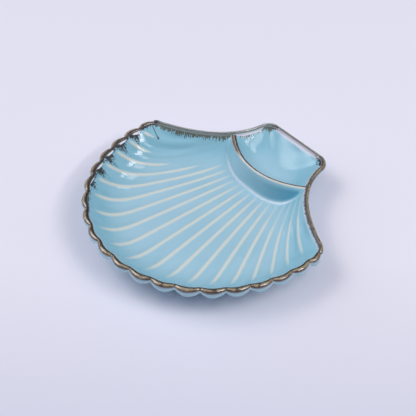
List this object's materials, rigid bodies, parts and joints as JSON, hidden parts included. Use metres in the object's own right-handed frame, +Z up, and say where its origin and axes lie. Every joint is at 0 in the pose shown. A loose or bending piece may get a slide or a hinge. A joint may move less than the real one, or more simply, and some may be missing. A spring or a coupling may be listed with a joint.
{
  "type": "shell platter",
  "caption": "Scallop-shell ceramic platter: a ribbed fan dish with a scalloped rim and a dip cup behind a curved divider, on a round foot ring.",
  "frame": {"origin": "middle of the platter's length and width, on the plane that it stands on", "axes": "+X across the dish, +Y from the fan's front edge to the hinge and dip cup, +Z up"},
  "size_m": [0.2232, 0.2194, 0.0315],
  "materials": {
    "blue_glaze": "glossy pale blue glaze, a little deeper where it pools",
    "cream_glaze": "glossy, the glaze broken thin to cream over the ribs",
    "brown_glaze": "glossy mottled brown reactive glaze, dark at its edges and tan along its middle",
    "bare_stoneware": "unglazed, fine matte clay"
  },
  "bodies": {
    "root": {"dish_body": "blue_glaze", "rim_glaze_band": "brown_glaze", "raised_ribs": "cream_glaze", "dip_divider": "blue_glaze", "divider_glaze_band": "brown_glaze", "foot_ring": "bare_stoneware"}
  },
  "joints": []
}
